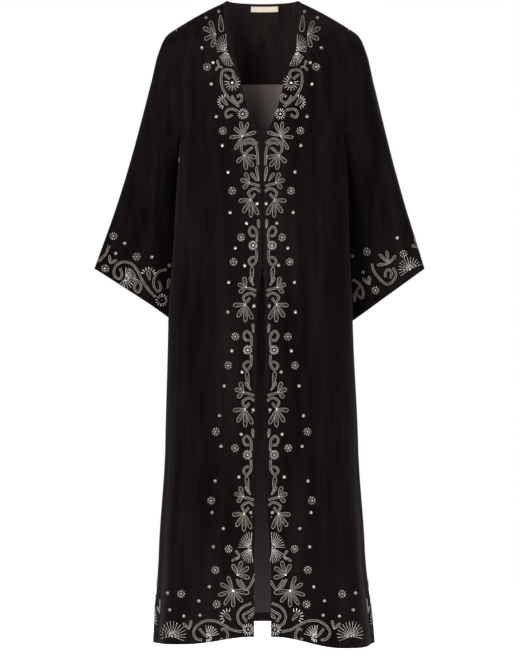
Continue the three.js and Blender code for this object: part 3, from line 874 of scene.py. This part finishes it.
def rays(work, centre, angles, inner, outer, width=2.0, shade=0.8):
    """Bugles that stand round a point like spokes."""
    centre = work.map(np.array([centre], float))[0]
    saved, work.map = work.map, lambda points: points
    for angle in angles:
        ahead = np.array([work.flip * math.cos(math.radians(angle)), math.sin(math.radians(angle))])
        pieces = max(1, round((outer - inner) / 10))
        for k in range(pieces):
            middle = inner + (outer - inner) * (k + 0.5) / pieces
            long = (outer - inner) / pieces * 0.93
            work.put("bugles", centre + ahead * middle, ahead, (long, width, width), shade)
    work.map = saved


def daisy(work, centre, inner=4.2, outer=11, count=13, shade=0.65):
    rays(work, centre, np.arange(count) * 360 / count + 7, inner + 0.8, outer, 1.7, shade)
    work.put("sequins", centre, (1, 0), (5, 5, 2), 0.05)


def rosette(work, centre):
    rays(work, centre, np.arange(10) * 36, 4.8, 9.2, 1.7, 0.4)
    for angle in np.arange(6) * 60 + 20:
        offset = 2.9 * np.array([math.cos(math.radians(angle)), math.sin(math.radians(angle))])
        work.put("beads", np.array(centre) + offset, (1, 0), (2, 2, 1.7), 0.35)
    work.put("sequins", centre, (1, 0), (3, 3, 2.4), 0.6)


def dot(work, centre, shade=0.7):
    work.put("sequins", centre, (1, 0), (5, 5, 1.8), shade - 0.3)
    for angle in np.arange(8) * 360 / 8:
        offset = 3.1 * np.array([math.cos(math.radians(angle)), math.sin(math.radians(angle))])
        work.put("beads", np.array(centre) + offset, (1, 0), (2.1, 2.1, 1.8), shade - 0.1)


def fan(work, centre, tips, count, shade=0.25):
    """A spread of rays from one point to a curve of tips, each ray a few bugles and a bead."""
    ends = along(work.map(curve_points(tips, 8)), np.linspace(0, 1, count))
    centre = work.map(np.array([centre], float))[0]
    saved, work.map = work.map, lambda points: points
    for end in ends:
        reach = np.linalg.norm(end - centre)
        ahead = (end - centre) / reach
        pieces = max(2, round(reach / 8))
        for k in range(pieces):
            middle = centre + (end - centre) * (0.14 + 0.82 * (k + 0.5) / pieces)
            work.put("bugles", middle, ahead, (0.82 * reach / pieces * 0.95, 1.6, 1.6), shade)
        work.put("beads", end, ahead, BEAD, shade + 0.15)
    work.put("sequins", centre, (1, 0), (4, 4, 2), 0.35)
    work.map = saved


def sun_drop(work, drop, tip, outer, angles):
    """A filled drop with short rays round its head."""
    drop, tip = np.array(drop, float), np.array(tip, float)
    head = drop + (drop - tip) * 0.75
    petal(work, tip, head, 11, 0.4)
    rays(work, drop, angles, outer * 0.55, outer, 2.0, 0.8)


# ---------------------------------------------------------------- where the motifs lie
#
# Beside the front edges a point is (distance out from the edge, height), and elsewhere it is
# (distance from the centre line, height), both as they look from straight in front.


def edge_line(side):
    """The front edge as it looks from in front: its heights, going up, and its distances."""
    surface = front_surface(side)
    edge = surface[:, 0] if side > 0 else surface[:, -1]
    ex, ey, ez = EYES["front"]
    nearer = -ey / (edge[:, 1] - ey)
    return ez + (edge[:, 2] - ez) * nearer, ex + (edge[:, 0] - ex) * nearer


def beside_edge(side, height):
    heights, places = edge_line(side)

    def lay(points):
        z = height + points[:, 1]
        return np.stack([np.interp(z, heights, places) + side * points[:, 0], z], axis=1)

    return lay


def beside_centre(side, centre=CENTRE_X):
    return lambda points: np.stack([centre + side * np.abs(points[:, 0]), points[:, 1]], axis=1)


def repeat_unit(work, last=False):
    """The motif that repeats down the front edges."""
    palmette(work, (29, 0), [(37, 22), (48, 7), (42, -12)])
    petal(work, (12, 3), (25, 22), 9)
    cord(work, [(27, -2), (16, -4), (5, -8)])
    cord(work, [(4, -20), (17, -13), (31, -22), (24, -34), (16, -24)])
    palmette(work, (26, -38), [(52, -41), (43, -67), (25, -78), (9, -72)])
    work.put("beads", [(9, -46)], (1, 0), (3, 3, 2), 0.7)
    if last:
        return
    petal(work, (7, -103), (9, -83), 8.5)
    cord(work, [(11, -133), (13, -108), (22, -99), (29, -107), (24, -119), (16, -119)])
    daisy(work, (20, -141), 4.3, 11, 13)
    cord(work, [(12, -152), (13, -176), (22, -186), (29, -177), (24, -169), (16, -168)])
    petal(work, (18, -224), (22, -190), 12)


REPEAT_HEIGHTS = [-409, -644, -880, -1115]
ROSETTES = [(122.6, -148.5), (87, -292), (66, -427), (46, -532), (63, -587), (59, -755), (75, -820),
            (103, -969), (60, -1006), (113, -1124), (74, -1233), (104, -1280), (101, -1357), (181, -1334)]
DOTS = [(96, -24), (125, -38), (134, -106), (109, -139), (113, -187), (102, -260), (88, -325), (75, -385),
        (10, -456), (71, -476), (34, -500), (59, -556), (38, -595), (74, -633), (76, -700), (17, -686),
        (67, -787), (44, -835), (84, -866), (94, -933), (19, -920), (46, -975), (91, -1002), (51, -1071),
        (104, -1080), (111, -1151), (24, -1151), (86, -1187), (108, -1228), (117, -1318), (14, -1339),
        (141, -1350), (211, -1332), (206, -1370), (175, -1384), (138, -1382)]


def shoulder_unit(work):
    """From the shoulder down to the foot of the neck's V."""
    petal(work, (93, -31), (90, -70), 15)
    palmette(work, (104, -75), [(116, -46), (131, -60.5), (128, -87), (111, -104.5)])
    fan(work, (78, -112), [(81, -76), (90, -80), (96, -86), (102, -96), (99, -114)], 9)
    fan(work, (78, -112), [(94, -127), (87, -138), (80.5, -145), (72.5, -146), (63.5, -145)], 9)
    for tip in [(100, -134), (88, -150), (103, -156)]:
        petal(work, (96, -147), tip, 7)
    curl = [(50, -238), (72.5, -220), (88, -195), (91, -174), (87, -158), (74, -155), (63.5, -161),
            (65, -174)]
    cord(work, curl)
    cord(work, [(84, -165), (71, -176)])
    rays(work, (66, -184), np.linspace(170, 420, 11), 6, 19, 1.8, 0.4)
    work.put("sequins", (66, -184), (1, 0), (5, 5, 2), 0.9)
    cord(work, [(68, -213), (56, -229), (45, -224), (47, -211), (56, -216)])
    sun_drop(work, (83, -227), (76, -236), 17, np.linspace(90, 250, 8))
    cord(work, [(54.5, -246), (72.5, -243.5), (80.5, -251), (78, -261.5), (65, -256)])
    daisy(work, (42, -254), 5, 13, 13)


def v_foot_unit(work):
    """The large palmette and spiral where the V closes."""
    palmette(work, (43, -304), [(61, -285), (47, -272), (30, -274), (13, -295), (71, -307), (59.5, -334)], 10)
    hook = [(8.5, -321), (25.5, -310), (40, -316), (46, -329), (43.5, -340), (38, -344), (28, -335),
            (20, -329)]
    cord(work, hook)
    cord(work, [(40, -323), (28, -319), (15, -324), (10, -337), (8.5, -356), (8.5, -370)])
    palmette(work, (39, -347.5), [(12, -352), (19, -372), (34.5, -379), (55, -363)])
    petal(work, (6.5, -407), (12, -373), 8.5)


def foot_unit(work):
    """The large cluster at the bottom of a front edge."""
    fan(work, (24, -1229), [(22, -1196), (32, -1196), (42, -1206), (48, -1216), (52, -1229)], 9)
    fan(work, (24, -1229), [(47, -1244), (40, -1257), (30, -1264), (20, -1263)], 8)
    for tip in [(58, -1237), (67, -1260), (56, -1256)]:
        petal(work, (49, -1249), tip, 7)
    palmette(work, (54, -1291), [(65, -1268), (45, -1261), (29, -1274), (27.5, -1298)])
    big = [(76, -1295), (92, -1311), (96.5, -1337), (83.5, -1358), (64, -1363), (43, -1352)]
    palmette(work, (64, -1326), big, 11)
    petal(work, (64, -1326), (28, -1331), 15)
    cord(work, [(14, -1287), (22, -1308), (34, -1324), (49, -1315), (56, -1300)])
    cord(work, [(49, -1302), (38, -1319)])
    cord(work, [(23, -1355), (43, -1364), (54, -1382), (49, -1401), (38, -1407)])
    cord(work, [(12.5, -1362), (30, -1375), (41.5, -1382), (34, -1397)])
    petal(work, (14, -1372), (30, -1389), 9)
    sun_drop(work, (76, -1385), (68, -1394), 19, np.linspace(75, 225, 7))


def hem_unit(work):
    """The border above the hem, from the front edge to the side."""
    daisy(work, (30, -1414), 5, 14, 14)
    scroll = [(45, -1419), (68, -1414), (86, -1403), (105, -1395), (127, -1395), (146, -1407), (153, -1421),
              (146, -1435), (133, -1438)]
    cord(work, scroll)
    cord(work, [(140, -1412), (125, -1429)])
    fan(work, (122, -1431), [(125, -1405), (113, -1406), (103, -1413), (97, -1424)], 7, 0.6)
    rays(work, (122, -1431), np.linspace(-10, -95, 5), 5, 12, 2, 0.7)
    cord(work, [(91, -1416), (84, -1412), (76, -1427), (84, -1442), (92, -1433)])
    for lobe in [(176.5, -1399.5), (158, -1394)]:
        petal(work, (163, -1414), lobe, 8.5)
    fan(work, (201, -1429), [(226, -1434), (226, -1415), (218, -1401), (205, -1396), (188, -1400),
                             (174, -1412),
                             (170, -1429), (175, -1439)], 15)


def side_unit(work):
    """What lies over a side seam, between the front's border and the back's."""
    petal(work, (40, -1398), (34, -1372), 9)
    petal(work, (42, -1404), (22, -1392), 8)
    petal(work, (-40, -1398), (-34, -1372), 9)
    petal(work, (-42, -1404), (-22, -1392), 8)
    fan(work, (0, -1430), [(-28, -1432), (-24, -1414), (-12, -1401), (0, -1398), (12, -1401), (24, -1414),
                           (28, -1432)], 13)
    dot(work, (0, -1376))
    rosette(work, (0, -1340))


def front_motifs(work, side):
    """Everything on one front, with the angles of its rays turned over on the +X side."""
    work.flip = -side
    for height in REPEAT_HEIGHTS:
        work.map = beside_edge(side, height)
        repeat_unit(work, last=height == REPEAT_HEIGHTS[-1])
    work.map = beside_centre(side)
    shoulder_unit(work)
    v_foot_unit(work)
    foot_unit(work)
    hem_unit(work)
    for place in ROSETTES:
        rosette(work, place)
    for place in DOTS:
        dot(work, place, 0.95 if place[1] == -187 else 0.62)


def back_motifs(work):
    """The border goes on round the back, and thins out above it."""
    work.eye = "back"
    for side in (-1, 1):
        work.flip = -side
        work.map = beside_centre(side, 0)
        hem_unit(work)
        for place in [(101, -1357), (181, -1334), (36, -1362)]:
            rosette(work, place)
        for place in [
            (141, -1350), (206, -1370), (175, -1384), (138, -1382), (76, -1380), (66, -1340), (12, -1388),
        ]:
            dot(work, place)


LEFT_CUFF = {
    "rosettes": [(-335, -529), (-283, -575), (-354, -601.5)],
    "dots": [(-310, -545), (-330, -568), (-249, -576), (-210, -595)],
    "cords": [
        [(-345, -550), (-351, -567), (-361, -579), (-370, -586)],
        [(-241, -666), (-257, -648.5), (-271, -627), (-282, -605), (-295, -591), (-312, -587), (-328, -594),
         (-334, -608), (-331, -621), (-321, -625), (-316, -616), (-320, -601)],
        [(-290, -625), (-280, -629.5), (-273, -643), (-280, -655), (-288, -646), (-284, -632)],
        [(-216, -603.5), (-234, -609), (-244, -624), (-244, -643), (-235, -654), (-229, -646),
         (-234, -629.5)],
    ],
    "petals": [(-343, -591, -344, -573), (-343, -591, -328, -583), (-214, -648, -211, -625)],
    "fans": [((-308, -624), [(-307, -600), (-294, -604), (-286, -614), (-283, -626)], 8),
             ((-308, -624), [(-287, -633), (-297, -645), (-310, -647), (-322, -638)], 7)],
    "sun_drops": [((-256, -617), (-254, -629), 19, 20, 160)],
    "daisies": [(-226.5, -673)],
}
RIGHT_CUFF = {
    "rosettes": [(235, -564), (317, -569), (254, -651)],
    "dots": [(303, -533), (227, -610), (203, -574)],
    "cords": [
        [(246, -591), (251, -608), (262, -623), (276, -636), (286.5, -636), (297, -625), (300, -612),
         (293, -599.5)],
        [(277, -622), (276, -612), (283, -604), (290, -612), (287, -624)],
        [(203, -627), (217, -635), (226.5, -651), (224.5, -668), (215, -662), (213, -652), (221, -640)],
    ],
    "petals": [(350, -555, 342, -534), (350, -555, 336, -550), (241.5, -639, 226, -624),
               (241.5, -639, 240, -619), (209, -677, 207, -658), (284, -591, 258, -594),
               (284, -591, 263, -569.5), (284, -591, 279, -562),
               (284, -591, 299, -573)],
    "fans": [((332, -603), [(357, -592), (344, -580), (332, -576), (318, -580), (308, -592), (306, -606),
                            (311, -618)], 13)],
    "sun_drops": [],
    "daisies": [],
}


def cuff_motifs(work, cuff, side):
    """A cuff's border on its front, and the same seen through on its back."""
    for eye in ("front", "back"):
        work.eye = eye
        turned = -1 if eye == "back" else 1
        work.flip = turned
        work.map = lambda points: points * (turned, 1)
        for place in cuff["rosettes"]:
            rosette(work, place)
        for place in cuff["dots"]:
            dot(work, place)
        for route in cuff["cords"]:
            cord(work, route)
        for x0, z0, x1, z1 in cuff["petals"]:
            petal(work, (x0, z0), (x1, z1), 8.5)
        for centre, tips, count in cuff["fans"]:
            fan(work, centre, tips, count)
        for drop, tip, outer, first, last in cuff["sun_drops"]:
            sun_drop(work, drop, tip, outer, np.linspace(first, last, 7))
        for place in cuff["daisies"]:
            daisy(work, place, 6, 15, 13)


def embroider():
    shapes = {
        "beads": (seed_shape(seed_bead), SEED_GLASS, 0.42),
        "bugles": (seed_shape(bugle), BUGLE_GLASS, 0.45),
        "sequins": (seed_shape(sequin), SEQUIN_FOIL, 0.3),
    }
    works = []
    for name, side in (("left", -1), ("right", 1)):
        front = Needlework("front_" + name, ["front_" + name, "edge_band_" + name])
        front_motifs(front, side)
        cuff = Needlework("sleeve_" + name, ["sleeve_" + name])
        cuff_motifs(cuff, LEFT_CUFF if side < 0 else RIGHT_CUFF, side)
        hip = Needlework("side_" + name, ["front_" + name, "back"])
        hip.eye = name
        side_unit(hip)
        works += [front, cuff, hip]
    back = Needlework("back", ["back"])
    back_motifs(back)
    for work in works + [back]:
        for kind, (shape, material, height) in shapes.items():
            work.finish(kind, shape, material, None, height)


# ---------------------------------------------------------------- the room and the robe


FLOOR_SIZE, FLOOR_Z, FLOOR_GLOW = 3.4, -1.52, 0.8
ROOM_LIGHT = 0.25


def make_room():
    bpy.ops.mesh.primitive_plane_add(size=FLOOR_SIZE, location=(0, 0, FLOOR_Z))
    floor = bpy.context.object
    floor.name = "floor"
    paper = Finish("pale_floor", Roughness=0.9, Emission_Color=(1, 1, 1, 1), Emission_Strength=FLOOR_GLOW)
    floor.data.materials.append(paper.set(Base_Color=paper.colour(paper.noise(2), grey(0.92), grey(0.96))))
    world = bpy.data.worlds.new("room")
    bpy.context.scene.world = world
    world.use_nodes = True
    tree = world.node_tree
    rays_kind = tree.nodes.new("ShaderNodeLightPath")
    level = tree.nodes.new("ShaderNodeMapRange")
    level.inputs["To Min"].default_value = ROOM_LIGHT
    level.inputs["To Max"].default_value = 1.0
    tree.links.new(rays_kind.outputs["Is Camera Ray"], level.inputs["Value"])
    tree.nodes["Background"].inputs["Color"].default_value = (1, 1, 1, 1)
    tree.links.new(level.outputs["Result"], tree.nodes["Background"].inputs["Strength"])
    bpy.context.scene.view_settings.view_transform = "Standard"


def add_light(name, place, aim, size, power):
    bpy.ops.object.light_add(type="AREA", location=place)
    light = bpy.context.object
    light.name = name
    light.data.energy = power
    light.data.size = size
    light.rotation_euler = (Vector(aim) - Vector(place)).to_track_quat("-Z", "Y").to_euler()


def make_camera():
    bpy.ops.object.camera_add(location=Vector(EYES["front"]) * MM, rotation=(math.radians(90), 0, 0))
    camera = bpy.context.object
    camera.name = "camera"
    camera.data.sensor_width = 36
    camera.data.lens = 123.08
    bpy.context.scene.camera = camera


make_camera()
make_room()
add_light("key", (-1.2, -2.3, 1.5), (0, 0, -0.1), 1.0, 105)
add_light("fill", (1.7, -2.3, 1.2), (0, 0, -0.2), 1.4, 55)
add_light("rear", (1.5, 3.2, 1.0), (0, 0, -0.6), 1.8, 70)

make_body()
make_inner_pieces()
make_label()
embroider()

for place in ("hook_upper", "eye_upper", "hook_lower", "eye_lower"):
    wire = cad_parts[place]
    wire.data.materials.clear()
    wire.data.materials.append(HOOK_STEEL)
